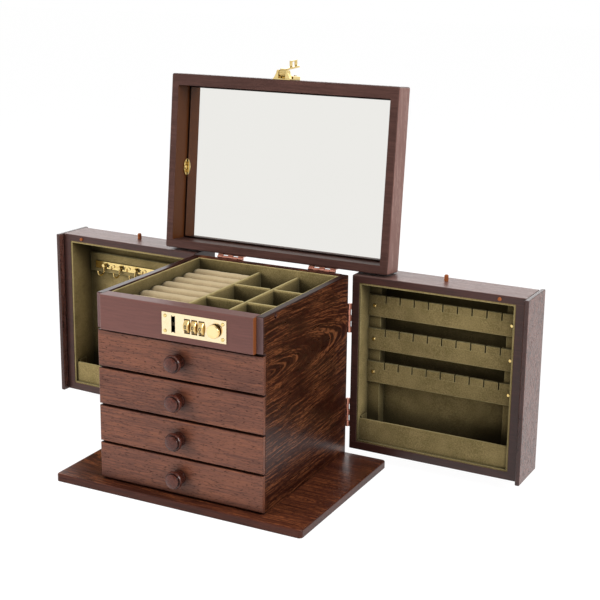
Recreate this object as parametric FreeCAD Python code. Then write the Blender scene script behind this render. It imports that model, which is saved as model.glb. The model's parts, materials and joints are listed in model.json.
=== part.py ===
import FreeCAD, Part
import math
import os

from FreeCAD import Rotation, Vector

# Jewelry box in millimetres. Z is up, the front faces -Y, and the origin lies on the underside of the base
# board, on the middle plane of the case. The lid and the wings stand open, as they do at rest.

# Driving sizes of the case
CASE_W = 187.0
CASE_D = 184.0
CASE_H = 196.0
BASE_T = 8.0
BASE_MARGIN = 6.3
BASE_FRONT = 4.4
SIDE_T = 8.0
BACK_T = 6.0
PANEL_PROUD = 6.7
PANEL_T = 15.5
PANEL_HALF = 86.0
PANEL_BOTTOM = 168.4
ARRIS = 1.0

# Driving sizes of the lid and the wings
LID_W = 270.0
LID_L = 192.4
LID_T = 29.5
LID_OPEN = 95.5
WING_L = 193.0
WING_Z0 = 12.1
RIGHT_OPEN = 89.2
LEFT_OPEN = 93.4
LID_HINGE_OUT = 3.2
WING_HINGE_OUT = 2.5
SEAM = 0.6

# Driving sizes of the drawers
DRAWERS = 4
DRAWER_TOP = 167.0
DRAWER_PITCH = 39.6
FRONT_T = 4.3
FRONT_GAP = 1.1
SHELF_T = 3.5
BOX_H = 33.0
BOX_L = 165.7
BOX_CLEAR = 0.9
BOX_WALL = 5.0
BOX_FLOOR = 3.0
CARD_T = 2.0

# Places worked out from them
X_SIDE = CASE_W / 2
X_IN = X_SIDE - SIDE_T
Y_FRONT = -CASE_D / 2
Y_BACK = CASE_D / 2
Y_BACK_IN = Y_BACK - BACK_T
Z_TOP = BASE_T + CASE_H
PANEL_FACE = Y_FRONT - PANEL_PROUD
PANEL_BACK = PANEL_FACE + PANEL_T
WING_D = LID_W / 2 - X_SIDE - SEAM
AXIS_X = X_SIDE + SEAM / 2
LID_AXIS_Y = Y_BACK + LID_HINGE_OUT
AXIS_Z = Z_TOP + SEAM / 2
WING_AXIS_Y = Y_BACK + WING_HINGE_OUT
WING_X = AXIS_X + WING_HINGE_OUT
WING_Y = WING_AXIS_Y + SEAM / 2
LID_Z = Z_TOP + SEAM
LID_FRONT = Y_BACK - LID_L


def block(low, high):
    """A box between two corners."""
    size = [b - a for a, b in zip(low, high)]
    return Part.makeBox(*size, Vector(*low))


def rod(radius, start, end):
    """A round bar between two points."""
    way = Vector(*end) - Vector(*start)
    return Part.makeCylinder(radius, way.Length, Vector(*start), way)


def faces_of_box(point, low, high):
    """Names of the faces of a box that a point lies on."""
    near = 1e-6
    names = set()
    for axis in range(3):
        if abs(point[axis] - low[axis]) < near:
            names.add((axis, "low"))
        if abs(point[axis] - high[axis]) < near:
            names.add((axis, "high"))
    return names


def rounded_outside(solid, low, high, radius):
    """Round the edges of a board that run along the edges of the box it belongs to."""
    edges = []
    for edge in solid.Edges:
        first, last = (faces_of_box(vertex.Point, low, high) for vertex in edge.Vertexes)
        if len(first & last) >= 2:
            edges.append(edge)
    return solid.makeFillet(radius, edges)


def rounded_at(solid, radius, test):
    """Round the edges whose two ends both pass a test."""
    edges = [edge for edge in solid.Edges if all(test(vertex.Point) for vertex in edge.Vertexes)]
    return solid.makeFillet(radius, edges)


def plate(points, height, direction):
    """A flat plate with straight sides."""
    corners = [Vector(*point) for point in points]
    outline = Part.makePolygon(corners + corners[:1])
    return Part.Face(outline).extrude(Vector(*direction) * height)


def save(node, solids):
    """Write one node, as a group where it has several solids."""
    shape = solids[0] if len(solids) == 1 else Part.makeCompound(solids)
    shape.exportStep(f"parts/{node}.step")


def open_lid(solids):
    """Turn solids of the closed lid to where the lid stands open."""
    for solid in solids:
        solid.rotate(Vector(0, LID_AXIS_Y, AXIS_Z), Vector(-1, 0, 0), LID_OPEN)
    return solids


def swing_right(solids):
    """Turn solids of a wing built square to the case to the right wing's place."""
    for solid in solids:
        solid.rotate(Vector(AXIS_X, WING_AXIS_Y, 0), Vector(0, 0, 1), RIGHT_OPEN - 90)
    return solids


def swing_left(solids):
    """Mirror solids of a wing built square to the case and turn them to the left wing's place."""
    flipped = [solid.mirror(Vector(0, 0, 0), Vector(1, 0, 0)) for solid in solids]
    for solid in flipped:
        solid.rotate(Vector(-AXIS_X, WING_AXIS_Y, 0), Vector(0, 0, -1), LEFT_OPEN - 90)
    return flipped


def wing_block(low, high):
    """A box in wing sizes: length from the hinge end, depth from the rim, height."""
    return block(wing_point(low), wing_point(high))


def wing_point(place):
    return (WING_X + place[0], WING_Y + place[1], place[2])


# Base board and case

BASE_CORNER = 4.0
BASE_ROUND = 1.5
PANEL_ROUND = 1.8
STRIP_BACK = 0.2
CATCH_U = 160.9
CATCH_Z = 200.0
CATCH_HOLE_R = 2.6
CATCH_HOLE_DEPTH = 5.0


def base_board():
    half = LID_W / 2 + BASE_MARGIN
    front = LID_FRONT - BASE_FRONT
    board = block((-half, front, 0), (half, Y_BACK, BASE_T))
    upright = [edge for edge in board.Edges if abs(edge.Vertexes[0].Z - edge.Vertexes[1].Z) > BASE_T / 2]
    board = board.makeFillet(BASE_CORNER, upright)
    return rounded_at(board, BASE_ROUND, lambda point: point.z > BASE_T / 2)


def case_side():
    """Right side board, whose front edge steps forward beside the proud panel."""
    set_back = Y_FRONT + FRONT_T + STRIP_BACK
    tall = block((X_IN, set_back, BASE_T), (X_SIDE, Y_BACK, Z_TOP))
    strip = block((X_IN, Y_FRONT, PANEL_BOTTOM), (X_SIDE, set_back, Z_TOP))
    side = tall.fuse(strip).removeSplitter()
    side = side.makeFillet(ARRIS, [edge for edge in side.Edges if is_side_arris(edge)])
    catch_y = Y_BACK - CATCH_U
    hole = rod(CATCH_HOLE_R, (X_SIDE - CATCH_HOLE_DEPTH, catch_y, CATCH_Z), (X_SIDE + 1, catch_y, CATCH_Z))
    return side.cut(hole)


def is_side_arris(edge):
    """True for the top edges and the long upright outer edges of the right side board."""
    first, last = (vertex.Point for vertex in edge.Vertexes)
    near = 1e-6
    on_top = min(first.z, last.z) > Z_TOP - near
    on_outer_face = min(first.x, last.x) > X_SIDE - near
    return on_top or on_outer_face and abs(first.z - last.z) > PANEL_T


def case_back():
    return block((-X_IN, Y_BACK_IN, BASE_T), (X_IN, Y_BACK, Z_TOP))


def top_front_panel():
    """Front of the tray: a proud face on a thinner board between the sides, with a mortise for the lock."""
    face = block((-PANEL_HALF, PANEL_FACE, PANEL_BOTTOM), (PANEL_HALF, Y_FRONT, Z_TOP))
    face = rounded_at(face, PANEL_ROUND, lambda point: point.y < PANEL_FACE + 1)
    tongue = block((-X_IN, Y_FRONT, PANEL_BOTTOM), (X_IN, PANEL_BACK, Z_TOP))
    mortise = block((CASE_X0, PANEL_FACE - 1, CASE_Z0), (CASE_X1, LOCK_BACK, CASE_Z1))
    return face.fuse(tongue).removeSplitter().cut(mortise)


def drawer_line(index):
    """Height of the joint under a drawer, counted from the top."""
    return DRAWER_TOP - (index + 1) * DRAWER_PITCH


def case_shelves():
    """Tray floor and the dust boards that the drawers slide on."""
    front = Y_FRONT + FRONT_T + 1.7
    solids = [block((-X_IN, PANEL_BACK, DRAWER_TOP), (X_IN, Y_BACK_IN, DRAWER_TOP + SHELF_T))]
    for index in range(DRAWERS):
        line = drawer_line(index)
        bottom = max(BASE_T, line - SHELF_T / 2)
        solids.append(block((-X_IN, front, bottom), (X_IN, Y_BACK_IN, line + SHELF_T / 2)))
    return solids


# Tray

TRAY_FLOOR = DRAWER_TOP + SHELF_T
LINING_GAP = 0.4
LINING_TOP = Z_TOP - 1.0
CARD_ROUND = 0.9
TRAY_X = X_IN - LINING_GAP - CARD_T
TRAY_Y0 = PANEL_BACK + CARD_T
TRAY_Y1 = Y_BACK_IN - CARD_T
TRAY_Z = TRAY_FLOOR + CARD_T
DIVIDER_T = 4.5
DIVIDER_TOP = 196.0
DIVIDER_ROUND = 2.2
LONG_DIVIDERS = (-8.5, 37.5)
TRAY_ROWS = 3
ROLLS = 8
ROLL_TOP = 193.5
ROLL_GAP = 0.3
ROLL_RISE = 9.0
ROLL_DRAW_IN = 0.5


def tray_lining():
    """Velvet-covered cards on the floor and the four walls of the tray."""
    outer_x = TRAY_X + CARD_T
    floor = block((-outer_x, PANEL_BACK, TRAY_FLOOR), (outer_x, Y_BACK_IN, TRAY_Z))
    walls = [
        block((-outer_x, PANEL_BACK, TRAY_Z), (outer_x, TRAY_Y0, LINING_TOP)),
        block((-outer_x, TRAY_Y1, TRAY_Z), (outer_x, Y_BACK_IN, LINING_TOP)),
        block((-outer_x, TRAY_Y0, TRAY_Z), (-TRAY_X, TRAY_Y1, LINING_TOP)),
        block((TRAY_X, TRAY_Y0, TRAY_Z), (outer_x, TRAY_Y1, LINING_TOP)),
    ]
    return [floor] + [rounded_top(wall, CARD_ROUND) for wall in walls]


def rounded_top(wall, radius):
    """Round the two long top edges of an upright card."""
    box = wall.BoundBox
    along = 0 if box.XLength > box.YLength else 1

    def is_top_run(edge):
        first, last = (vertex.Point for vertex in edge.Vertexes)
        high = min(first.z, last.z) > box.ZMax - 1e-6
        return high and abs(first[along] - last[along]) > radius * 3

    return wall.makeFillet(radius, [edge for edge in wall.Edges if is_top_run(edge)])


def tray_dividers():
    """Long dividers from front to back, and short ones across the two right columns."""
    half = DIVIDER_T / 2
    solids = []
    for x in LONG_DIVIDERS:
        solids.append(block((x - half, TRAY_Y0, TRAY_Z), (x + half, TRAY_Y1, DIVIDER_TOP)))
    row = (TRAY_Y1 - TRAY_Y0) / TRAY_ROWS
    columns = ((LONG_DIVIDERS[0] + half, LONG_DIVIDERS[1] - half), (LONG_DIVIDERS[1] + half, TRAY_X))
    for left, right in columns:
        for count in range(1, TRAY_ROWS):
            y = TRAY_Y0 + count * row
            solids.append(block((left, y - half, TRAY_Z), (right, y + half, DIVIDER_TOP)))
    return [rounded_top(solid, DIVIDER_ROUND) for solid in solids]


def roll_section(x, y, half, top):
    """Outline of a ring roll across its length: flat below, round on top."""
    shoulder = top - ROLL_RISE
    low_a = Vector(x, y - half, TRAY_Z)
    low_b = Vector(x, y + half, TRAY_Z)
    high_a = Vector(x, y - half, shoulder)
    high_b = Vector(x, y + half, shoulder)
    crown = Part.Arc(high_b, Vector(x, y, top), high_a).toShape()
    sides = [Part.makeLine(high_a, low_a), Part.makeLine(low_a, low_b), Part.makeLine(low_b, high_b)]
    return Part.Wire(sides + [crown])


def ring_rolls():
    """Padded rolls that hold rings between them, a little fuller in the middle of their length."""
    left = -TRAY_X + ROLL_GAP
    right = LONG_DIVIDERS[0] - DIVIDER_T / 2 - ROLL_GAP
    pitch = (TRAY_Y1 - TRAY_Y0) / ROLLS
    full = (pitch - ROLL_GAP) / 2
    solids = []
    for index in range(ROLLS):
        y = TRAY_Y0 + (index + 0.5) * pitch
        ends = [roll_section(x, y, full - ROLL_DRAW_IN, ROLL_TOP - ROLL_DRAW_IN) for x in (left, right)]
        middle = roll_section((left + right) / 2, y, full, ROLL_TOP)
        solids.append(Part.makeLoft([ends[0], middle, ends[1]], True, False))
    return solids


# Combination lock

PLATE_T = 1.0
PLATE_X = (-13.0, 58.2)
PLATE_Z = (175.0, 197.6)
LOCK_Z = sum(PLATE_Z) / 2
PLATE_FACE = PANEL_FACE - PLATE_T
PLATE_EDGE = 0.4
PLATE_SCREW_INSET = 3.9
PLATE_SCREW_R = 1.7
PLATE_SHANK_R = 0.8
PLATE_SHANK = 9.0
SCREW_HEAD = 0.8
LOCK_BACK = PANEL_BACK - 1.2
CASE_X0 = -6.0
CASE_X1 = 52.7
CASE_Z0 = LOCK_Z - 10.4
CASE_Z1 = LOCK_Z + 10.4
LOCK_WALL = 1.2
SLOT_HALF = 2.2
SLOT_REACH = 8.5
SLOT_NOTCH = 0.7
SLOT_DEPTH = 6.2
DIAL_R = 7.3
DIAL_W = 5.6
DIAL_X = (15.5, 23.5, 31.5)
DIAL_Y = PLATE_FACE + 3.6
DIAL_CLEAR = 0.4
DIAL_BORE_CLEAR = 0.05
DIAL_CHAMFER = 0.7
AXLE_R = 1.5
BUTTON_X = 45.7
BUTTON_R = 6.6
BUTTON_NECK_R = 5.5
BUTTON_CLEAR = 0.35
BUTTON_GAP = 1.7
BUTTON_CAP = 2.5
BUTTON_DEPTH = 4.7
BOLT_X = (-1.8, 6.4)
BOLT_Y = (PANEL_FACE + 0.15, PANEL_FACE + 1.15)
BOLT_HALF_Z = 1.6
BOLT_TRAVEL = 3.4
BOLT_CLEAR = 0.15


def slot_cut(near, far):
    """Space of the hasp slot between two depths, with small notches at both ends."""
    tall = block((-SLOT_HALF, near, LOCK_Z - SLOT_REACH), (SLOT_HALF, far, LOCK_Z + SLOT_REACH))
    waist = SLOT_HALF - SLOT_NOTCH
    for end in (-1, 1):
        edge = LOCK_Z + end * SLOT_REACH
        low, high = sorted((edge, edge - end * SLOT_NOTCH))
        tooth = block((-waist, near, low), (waist, far, high))
        tall = tall.cut(tooth)
    return tall


def plate_screw_places():
    xs = (PLATE_X[0] + PLATE_SCREW_INSET, PLATE_X[1] - PLATE_SCREW_INSET)
    zs = (PLATE_Z[0] + PLATE_SCREW_INSET, PLATE_Z[1] - PLATE_SCREW_INSET)
    return [(x, z) for x in xs for z in zs]


def lock_plate():
    body = block((PLATE_X[0], PLATE_FACE, PLATE_Z[0]), (PLATE_X[1], PANEL_FACE, PLATE_Z[1]))
    body = rounded_at(body, PLATE_EDGE, lambda point: point.y < PLATE_FACE + PLATE_T / 2)
    body = body.cut(slot_cut(PLATE_FACE - 1, PANEL_FACE + 1))
    window = math.sqrt(DIAL_R ** 2 - (DIAL_Y - PANEL_FACE) ** 2) + DIAL_CLEAR
    wide = DIAL_W / 2 + DIAL_CLEAR
    for x in DIAL_X:
        low = (x - wide, PLATE_FACE - 1, LOCK_Z - window)
        body = body.cut(block(low, (x + wide, PANEL_FACE + 1, LOCK_Z + window)))
    hole_r = BUTTON_NECK_R + BUTTON_CLEAR
    body = body.cut(rod(hole_r, (BUTTON_X, PLATE_FACE - 1, LOCK_Z), (BUTTON_X, PANEL_FACE + 1, LOCK_Z)))
    for x, z in plate_screw_places():
        body = body.cut(rod(PLATE_SHANK_R, (x, PLATE_FACE - 1, z), (x, PANEL_FACE + 1, z)))
    return body


def lock_screws():
    """Dome-headed screws at the corners of the plate."""
    solids = []
    for x, z in plate_screw_places():
        head = rod(PLATE_SCREW_R, (x, PLATE_FACE - SCREW_HEAD, z), (x, PLATE_FACE, z))
        head = rounded_at(head, SCREW_HEAD * 0.6, lambda point: point.y < PLATE_FACE - SCREW_HEAD / 2)
        shank = rod(PLATE_SHANK_R, (x, PLATE_FACE, z), (x, PLATE_FACE + PLATE_SHANK, z))
        solids.append(head.fuse(shank))
    return solids


def lock_case():
    """Metal case behind the plate with room for the hasp's staple, the bolt, the dials and the button."""
    body = block((CASE_X0, PANEL_FACE, CASE_Z0), (CASE_X1, LOCK_BACK, CASE_Z1))
    body = body.cut(slot_cut(PANEL_FACE - 1, PANEL_FACE + SLOT_DEPTH))
    dial_x0 = DIAL_X[0] - DIAL_W / 2 - DIAL_CLEAR
    dial_x1 = DIAL_X[-1] + DIAL_W / 2 + DIAL_CLEAR
    dial_room = DIAL_R + DIAL_CLEAR
    dial_low = (dial_x0, PANEL_FACE - 1, LOCK_Z - dial_room)
    dials = block(dial_low, (dial_x1, DIAL_Y + dial_room, LOCK_Z + dial_room))
    bolt_end = BOLT_X[1] + BOLT_TRAVEL + BOLT_CLEAR
    tall = BOLT_HALF_Z + BOLT_CLEAR
    bolt_low = (0, BOLT_Y[0] - BOLT_CLEAR, LOCK_Z - tall)
    bolt = block(bolt_low, (bolt_end, BOLT_Y[1] + BOLT_CLEAR, LOCK_Z + tall))
    button_r = BUTTON_NECK_R + BUTTON_CLEAR
    button_end = PLATE_FACE + BUTTON_DEPTH + BUTTON_GAP + BOLT_CLEAR
    button = rod(button_r, (BUTTON_X, PANEL_FACE - 1, LOCK_Z), (BUTTON_X, button_end, LOCK_Z))
    return body.cut(dials).cut(bolt).cut(button)


def dial_axle():
    reach = LOCK_WALL + DIAL_CLEAR + DIAL_W / 2
    return rod(AXLE_R, (DIAL_X[0] - reach, DIAL_Y, LOCK_Z), (DIAL_X[-1] + reach, DIAL_Y, LOCK_Z))


def dial(x):
    """Number wheel on the axle."""
    half = DIAL_W / 2
    wheel = rod(DIAL_R, (x - half, DIAL_Y, LOCK_Z), (x + half, DIAL_Y, LOCK_Z))
    wheel = wheel.makeChamfer(DIAL_CHAMFER, wheel.Edges[0:1] + wheel.Edges[2:3])
    bore = rod(AXLE_R + DIAL_BORE_CLEAR, (x - half - 1, DIAL_Y, LOCK_Z), (x + half + 1, DIAL_Y, LOCK_Z))
    return wheel.cut(bore)


def lock_button():
    """Round push button: a cap on a neck that runs into the case."""
    back = PLATE_FACE - BUTTON_GAP
    face = back - BUTTON_CAP
    cap = rod(BUTTON_R, (BUTTON_X, face, LOCK_Z), (BUTTON_X, back, LOCK_Z))
    cap = rounded_at(cap, BUTTON_CAP * 0.3, lambda point: point.y < face + 1)
    neck = rod(BUTTON_NECK_R, (BUTTON_X, back, LOCK_Z), (BUTTON_X, PLATE_FACE + BUTTON_DEPTH, LOCK_Z))
    return cap.fuse(neck)


def lock_bolt():
    return block((BOLT_X[0], BOLT_Y[0], LOCK_Z - BOLT_HALF_Z), (BOLT_X[1], BOLT_Y[1], LOCK_Z + BOLT_HALF_Z))


# Hinges

HINGE_LEN = 31.5
KNUCKLES = 5
KNUCKLE_GAP = 0.3
BARREL_R = 1.8
PIN_R = 0.9
PIN_PRESS = 0.04
PIN_CLEAR = 0.07
LEAF_W = 14.0
LEAF_T = 1.0
LID_HINGE_X = (-50.5, 60.7)
WING_HINGE_Z = (52.5, 157.0)


def hinge_leaf(side, owned, bore, out):
    """One leaf of a closed hinge about Z: a plate on the back face and the knuckles that it owns."""
    pitch = HINGE_LEN / KNUCKLES
    low, high = sorted((0, side * LEAF_W))
    leaf = block((low, -out, -HINGE_LEN / 2), (high, LEAF_T - out, HINGE_LEN / 2))
    web_low, web_high = sorted((0, side * BARREL_R))
    room = BARREL_R + 0.4
    for index in range(KNUCKLES):
        z0 = -HINGE_LEN / 2 + index * pitch
        z1 = z0 + pitch
        if index in owned:
            start = z0 + KNUCKLE_GAP / 2
            end = z1 - KNUCKLE_GAP / 2
            leaf = leaf.fuse(block((web_low, -out, start), (web_high, 0, end)))
            leaf = leaf.fuse(rod(BARREL_R, (0, 0, start), (0, 0, end)))
        else:
            leaf = leaf.cut(block((-room, -out - 1, z0), (room, room, z1)))
    return leaf.cut(rod(bore, (0, 0, -HINGE_LEN), (0, 0, HINGE_LEN)))


def fixed_leaf(out):
    return hinge_leaf(-1, (1, 3), PIN_R - PIN_PRESS, out)


def moving_leaf(out):
    return hinge_leaf(1, (0, 2, 4), PIN_R + PIN_CLEAR, out)


def hinge_pin(_):
    return rod(PIN_R, (0, 0, -HINGE_LEN / 2), (0, 0, HINGE_LEN / 2))


def at_lid(make):
    """A hinge piece at each place along the lid's axis, with the lid closed."""
    solids = []
    for x in LID_HINGE_X:
        solid = make(LID_HINGE_OUT)
        solid.Placement = FreeCAD.Placement(Vector(x, LID_AXIS_Y, AXIS_Z), Rotation(Vector(0, 1, 0), -90))
        solids.append(solid)
    return solids


def at_wing(make, turn=0):
    """A hinge piece at each place along the right wing's axis."""
    solids = []
    for z in WING_HINGE_Z:
        solid = make(WING_HINGE_OUT)
        solid.Placement = FreeCAD.Placement(Vector(AXIS_X, WING_AXIS_Y, z), Rotation(Vector(0, 0, 1), turn))
        solids.append(solid)
    return solids


def both_sides(solids):
    return solids + [solid.mirror(Vector(0, 0, 0), Vector(1, 0, 0)) for solid in solids]


# Drawers

KNOB_TENON_R = 4.0
KNOB_TENON = 4.0
KNOB_LEN = 16.0
KNOB_NECK_R = 6.9
KNOB_FOOT_R = 7.4
KNOB_RING_R = 9.1
KNOB_CAP_R = 7.2
KNOB_DOME = 1.8
FRONT_ROUND = 1.2
DRAWER_CARD = 1.2
BOX_LIFT = SHELF_T / 2 + 0.45


def drawer_front(line):
    low = (-X_SIDE, Y_FRONT, line + FRONT_GAP)
    high = (X_SIDE, Y_FRONT + FRONT_T, line + DRAWER_PITCH - FRONT_GAP)
    return rounded_at(block(low, high), FRONT_ROUND, lambda point: point.y < Y_FRONT + FRONT_T / 2)


def box_boards(low, high, wall, floor):
    """Floor and four walls of an open-topped box, as separate boards."""
    (x0, y0, z0), (x1, y1, z1) = low, high
    return [
        block((x0, y0, z0), (x1, y1, z0 + floor)),
        block((x0, y0, z0 + floor), (x1, y0 + wall, z1)),
        block((x0, y1 - wall, z0 + floor), (x1, y1, z1)),
        block((x0, y0 + wall, z0 + floor), (x0 + wall, y1 - wall, z1)),
        block((x1 - wall, y0 + wall, z0 + floor), (x1, y1 - wall, z1)),
    ]


def drawer_corners(line):
    half = X_IN - BOX_CLEAR
    front = Y_FRONT + FRONT_T
    return (-half, front, line + BOX_LIFT), (half, front + BOX_L, line + BOX_LIFT + BOX_H)


def drawer_box(line):
    low, high = drawer_corners(line)
    return box_boards(low, high, BOX_WALL, BOX_FLOOR)


def drawer_lining(line):
    """Velvet cards inside the drawer box, ending a little below its rim."""
    low, high = drawer_corners(line)
    inner_low = (low[0] + BOX_WALL, low[1] + BOX_WALL, low[2] + BOX_FLOOR)
    inner_high = (high[0] - BOX_WALL, high[1] - BOX_WALL, high[2] - 2)
    return box_boards(inner_low, inner_high, DRAWER_CARD, DRAWER_CARD)


def drawer_knob(line):
    """Turned knob: foot, neck, ring, groove and domed cap, with a tenon in the front."""
    middle = line + DRAWER_PITCH / 2
    steps = [
        (-KNOB_TENON, 0), (-KNOB_TENON, KNOB_TENON_R), (0, KNOB_TENON_R), (0, KNOB_FOOT_R),
        (2.2, KNOB_NECK_R), (6.4, KNOB_NECK_R), (8.2, KNOB_RING_R - 0.7), (9.4, KNOB_RING_R),
        (11.0, KNOB_RING_R), (12.2, KNOB_RING_R - 0.6), (12.2, KNOB_CAP_R - 0.5), (12.9, KNOB_CAP_R - 0.5),
        (13.4, KNOB_CAP_R), (KNOB_LEN - KNOB_DOME, KNOB_CAP_R),
    ]
    points = [Vector(0, Y_FRONT - far, middle + radius) for far, radius in steps]
    tip = Vector(0, Y_FRONT - KNOB_LEN, middle)
    dome = (KNOB_CAP_R ** 2 + KNOB_DOME ** 2) / (2 * KNOB_DOME)
    halfway = math.asin(KNOB_CAP_R / dome) / 2
    over = tip + Vector(0, dome * (1 - math.cos(halfway)), dome * math.sin(halfway))
    edges = [Part.makeLine(a, b) for a, b in zip(points, points[1:])]
    edges.append(Part.Arc(points[-1], over, tip).toShape())
    edges.append(Part.makeLine(tip, points[0]))
    profile = Part.Face(Part.Wire(edges))
    return profile.revolve(Vector(0, 0, middle), Vector(0, 1, 0), 360)


# Wings

TOP_RAIL = 7.5
LOW_RAIL = 8.8
HINGE_STILE = 8.2
END_STILE = 10.6
WING_BACK_T = 4.0
END_T = 4.7
END_LIP = 7.5
END_BACK = 4.3
END_DROP = 0.8
WING_CARD_EDGE = 0.5
FRAME_L = WING_L - END_T
FRAME_D = WING_D - WING_BACK_T
LINED_U1 = FRAME_L - END_STILE
IN_U0 = HINGE_STILE + CARD_T
IN_U1 = LINED_U1 - CARD_T
IN_Z0 = WING_Z0 + LOW_RAIL + CARD_T
IN_Z1 = Z_TOP - TOP_RAIL - CARD_T
IN_BACK = FRAME_D - CARD_T
POCKET_V = 3.0
POCKET_T = 2.5
POCKET_TOP = 47.0
POCKET_END = 18.0
POCKET_END_T = 1.8
POCKET_END_RISE = 2.0
PEG_U = 94.7
PEG_V = 24.5
PEG_R = 2.2
PEG_H = 7.0
DOWEL_R = 2.0
DOWEL_H = 1.8


def wing_frame():
    """Four rails and the back board of a wing."""
    low = (0, 0, WING_Z0)
    high = (FRAME_L, WING_D, Z_TOP)
    boards = [
        ((0, 0, Z_TOP - TOP_RAIL), (FRAME_L, FRAME_D, Z_TOP)),
        ((0, 0, WING_Z0), (FRAME_L, FRAME_D, WING_Z0 + LOW_RAIL)),
        ((0, 0, WING_Z0 + LOW_RAIL), (HINGE_STILE, FRAME_D, Z_TOP - TOP_RAIL)),
        ((LINED_U1, 0, WING_Z0 + LOW_RAIL), (FRAME_L, FRAME_D, Z_TOP - TOP_RAIL)),
        ((0, FRAME_D, WING_Z0), (FRAME_L, WING_D, Z_TOP)),
    ]
    outer = (wing_point(low), wing_point(high))
    return [rounded_outside(wing_block(*board), *outer, ARRIS) for board in boards]


def wing_end():
    """End panel: its lip reaches in front of the case when the wing is shut, and its back edge stands out."""
    panel = wing_block((FRAME_L, -END_LIP, WING_Z0 - END_DROP), (WING_L, WING_D + END_BACK, Z_TOP))
    return panel.makeFillet(ARRIS, panel.Edges)


def wing_lining():
    """Velvet cards on the walls and the back, with the low pocket panel and its two end cards."""
    front = WING_CARD_EDGE
    behind = POCKET_V + POCKET_T
    end_top = POCKET_TOP + POCKET_END_RISE
    boards = [
        ((HINGE_STILE, front, IN_Z1), (LINED_U1, IN_BACK, IN_Z1 + CARD_T)),
        ((HINGE_STILE, front, IN_Z0 - CARD_T), (LINED_U1, IN_BACK, IN_Z0)),
        ((HINGE_STILE, front, IN_Z0), (IN_U0, IN_BACK, IN_Z1)),
        ((IN_U1, front, IN_Z0), (LINED_U1, IN_BACK, IN_Z1)),
        ((HINGE_STILE, IN_BACK, IN_Z0 - CARD_T), (LINED_U1, FRAME_D, IN_Z1 + CARD_T)),
        ((IN_U0, behind, IN_Z0), (IN_U0 + POCKET_END_T, POCKET_END, end_top)),
        ((IN_U1 - POCKET_END_T, behind, IN_Z0), (IN_U1, POCKET_END, end_top)),
    ]
    pocket = wing_block((IN_U0, POCKET_V, IN_Z0), (IN_U1, behind, POCKET_TOP))
    return [wing_block(*board) for board in boards] + [rounded_top(pocket, CARD_ROUND)]


def wing_pegs():
    """Peg on the top that the closed lid holds, and the dowel in the rim that enters the case side."""
    x, y, z = wing_point((PEG_U, PEG_V, Z_TOP))
    peg = rod(PEG_R, (x, y, z), (x, y, z + PEG_H))
    peg = rounded_at(peg, PEG_R * 0.7, lambda point: point.z > Z_TOP + PEG_H / 2)
    x, y, z = wing_point((CATCH_U, 0, CATCH_Z))
    dowel = rod(DOWEL_R, (x, y - DOWEL_H, z), (x, y, z))
    dowel = rounded_at(dowel, DOWEL_R * 0.5, lambda point: point.y < WING_Y - DOWEL_H / 2)
    return [peg, dowel]


# Earring bars of the right wing

BAR_TOPS = (180.0, 143.4, 106.8)
BAR_H = 23.0
BAR_V = 19.5
BAR_T = 3.0
BATTEN_W = 13.5
NOTCHES = 9
NOTCH_U0 = 30.4
NOTCH_PITCH = 15.9
NOTCH_W = 1.4
NOTCH_H = 7.7
BAR_SCREW_U = 7.4
BAR_SCREW_R = 1.9
BAR_SCREW_HEAD = 1.0
BAR_SHANK_R = 0.9
BAR_SHANK = 10.0


def bar_battens():
    """Uprights at both ends of the right wing that carry the earring bars."""
    v = BAR_V + BAR_T
    spans = ((IN_U0, IN_U0 + BATTEN_W), (IN_U1 - BATTEN_W, IN_U1))
    return [wing_block((a, v, IN_Z0), (b, IN_BACK, IN_Z1)) for a, b in spans]


def earring_bar(top):
    """Flat bar with slots in its top edge for earrings: a strip below and the teeth between the slots."""
    floor = top - NOTCH_H
    back = BAR_V + BAR_T
    slots = [NOTCH_U0 + index * NOTCH_PITCH for index in range(NOTCHES)]
    starts = [IN_U0] + [u + NOTCH_W / 2 for u in slots]
    ends = [u - NOTCH_W / 2 for u in slots] + [IN_U1]
    strip = wing_block((IN_U0, BAR_V, top - BAR_H), (IN_U1, back, floor))
    teeth = [wing_block((a, BAR_V, floor), (b, back, top)) for a, b in zip(starts, ends)]
    return [strip] + teeth


def bar_screws():
    """A dome-headed screw at each end of each bar."""
    solids = []
    for top in BAR_TOPS:
        for u in (IN_U0 + BAR_SCREW_U, IN_U1 - BAR_SCREW_U):
            x, y, z = wing_point((u, BAR_V, top - BAR_H / 2))
            head = rod(BAR_SCREW_R, (x, y - BAR_SCREW_HEAD, z), (x, y, z))
            head = rounded_at(head, BAR_SCREW_HEAD * 0.7, lambda point, y=y: point.y < y - BAR_SCREW_HEAD / 2)
            solids.append(head.fuse(rod(BAR_SHANK_R, (x, y, z), (x, y + BAR_SHANK, z))))
    return solids


# Hook rail of the left wing

HOOK_RAIL_Z = (155.7, 177.6)
HOOK_RAIL_V = 30.5
HOOK_RAIL_END = 2.5
HOOK_STRIP_Z = (160.2, 168.4)
HOOK_STRIP_T = 1.2
HOOK_STRIP_END = 10.8
HOOKS = 6
HOOK_PITCH = 23.2
HOOK_WIRE_R = 1.0
HOOK_DROP = 5.1
HOOK_BEND = 5.4
HOOK_TIP = 1.0
HOOK_ARCS = 4
HOOK_BOSS_R = 2.0
HOOK_BOSS_FRONT = 1.4
STAR_OUT = 3.6
STAR_IN = 1.6
STAR_POINTS = 5
STAR_AWAY = 4.4
RIVET_R = 1.8
RIVET_H = 0.7
RIVET_AWAY = 13.0


def hook_rail():
    low = (IN_U0 + HOOK_RAIL_END, HOOK_RAIL_V, HOOK_RAIL_Z[0])
    return wing_block(low, (IN_U1 - HOOK_RAIL_END, IN_BACK, HOOK_RAIL_Z[1]))


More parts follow.
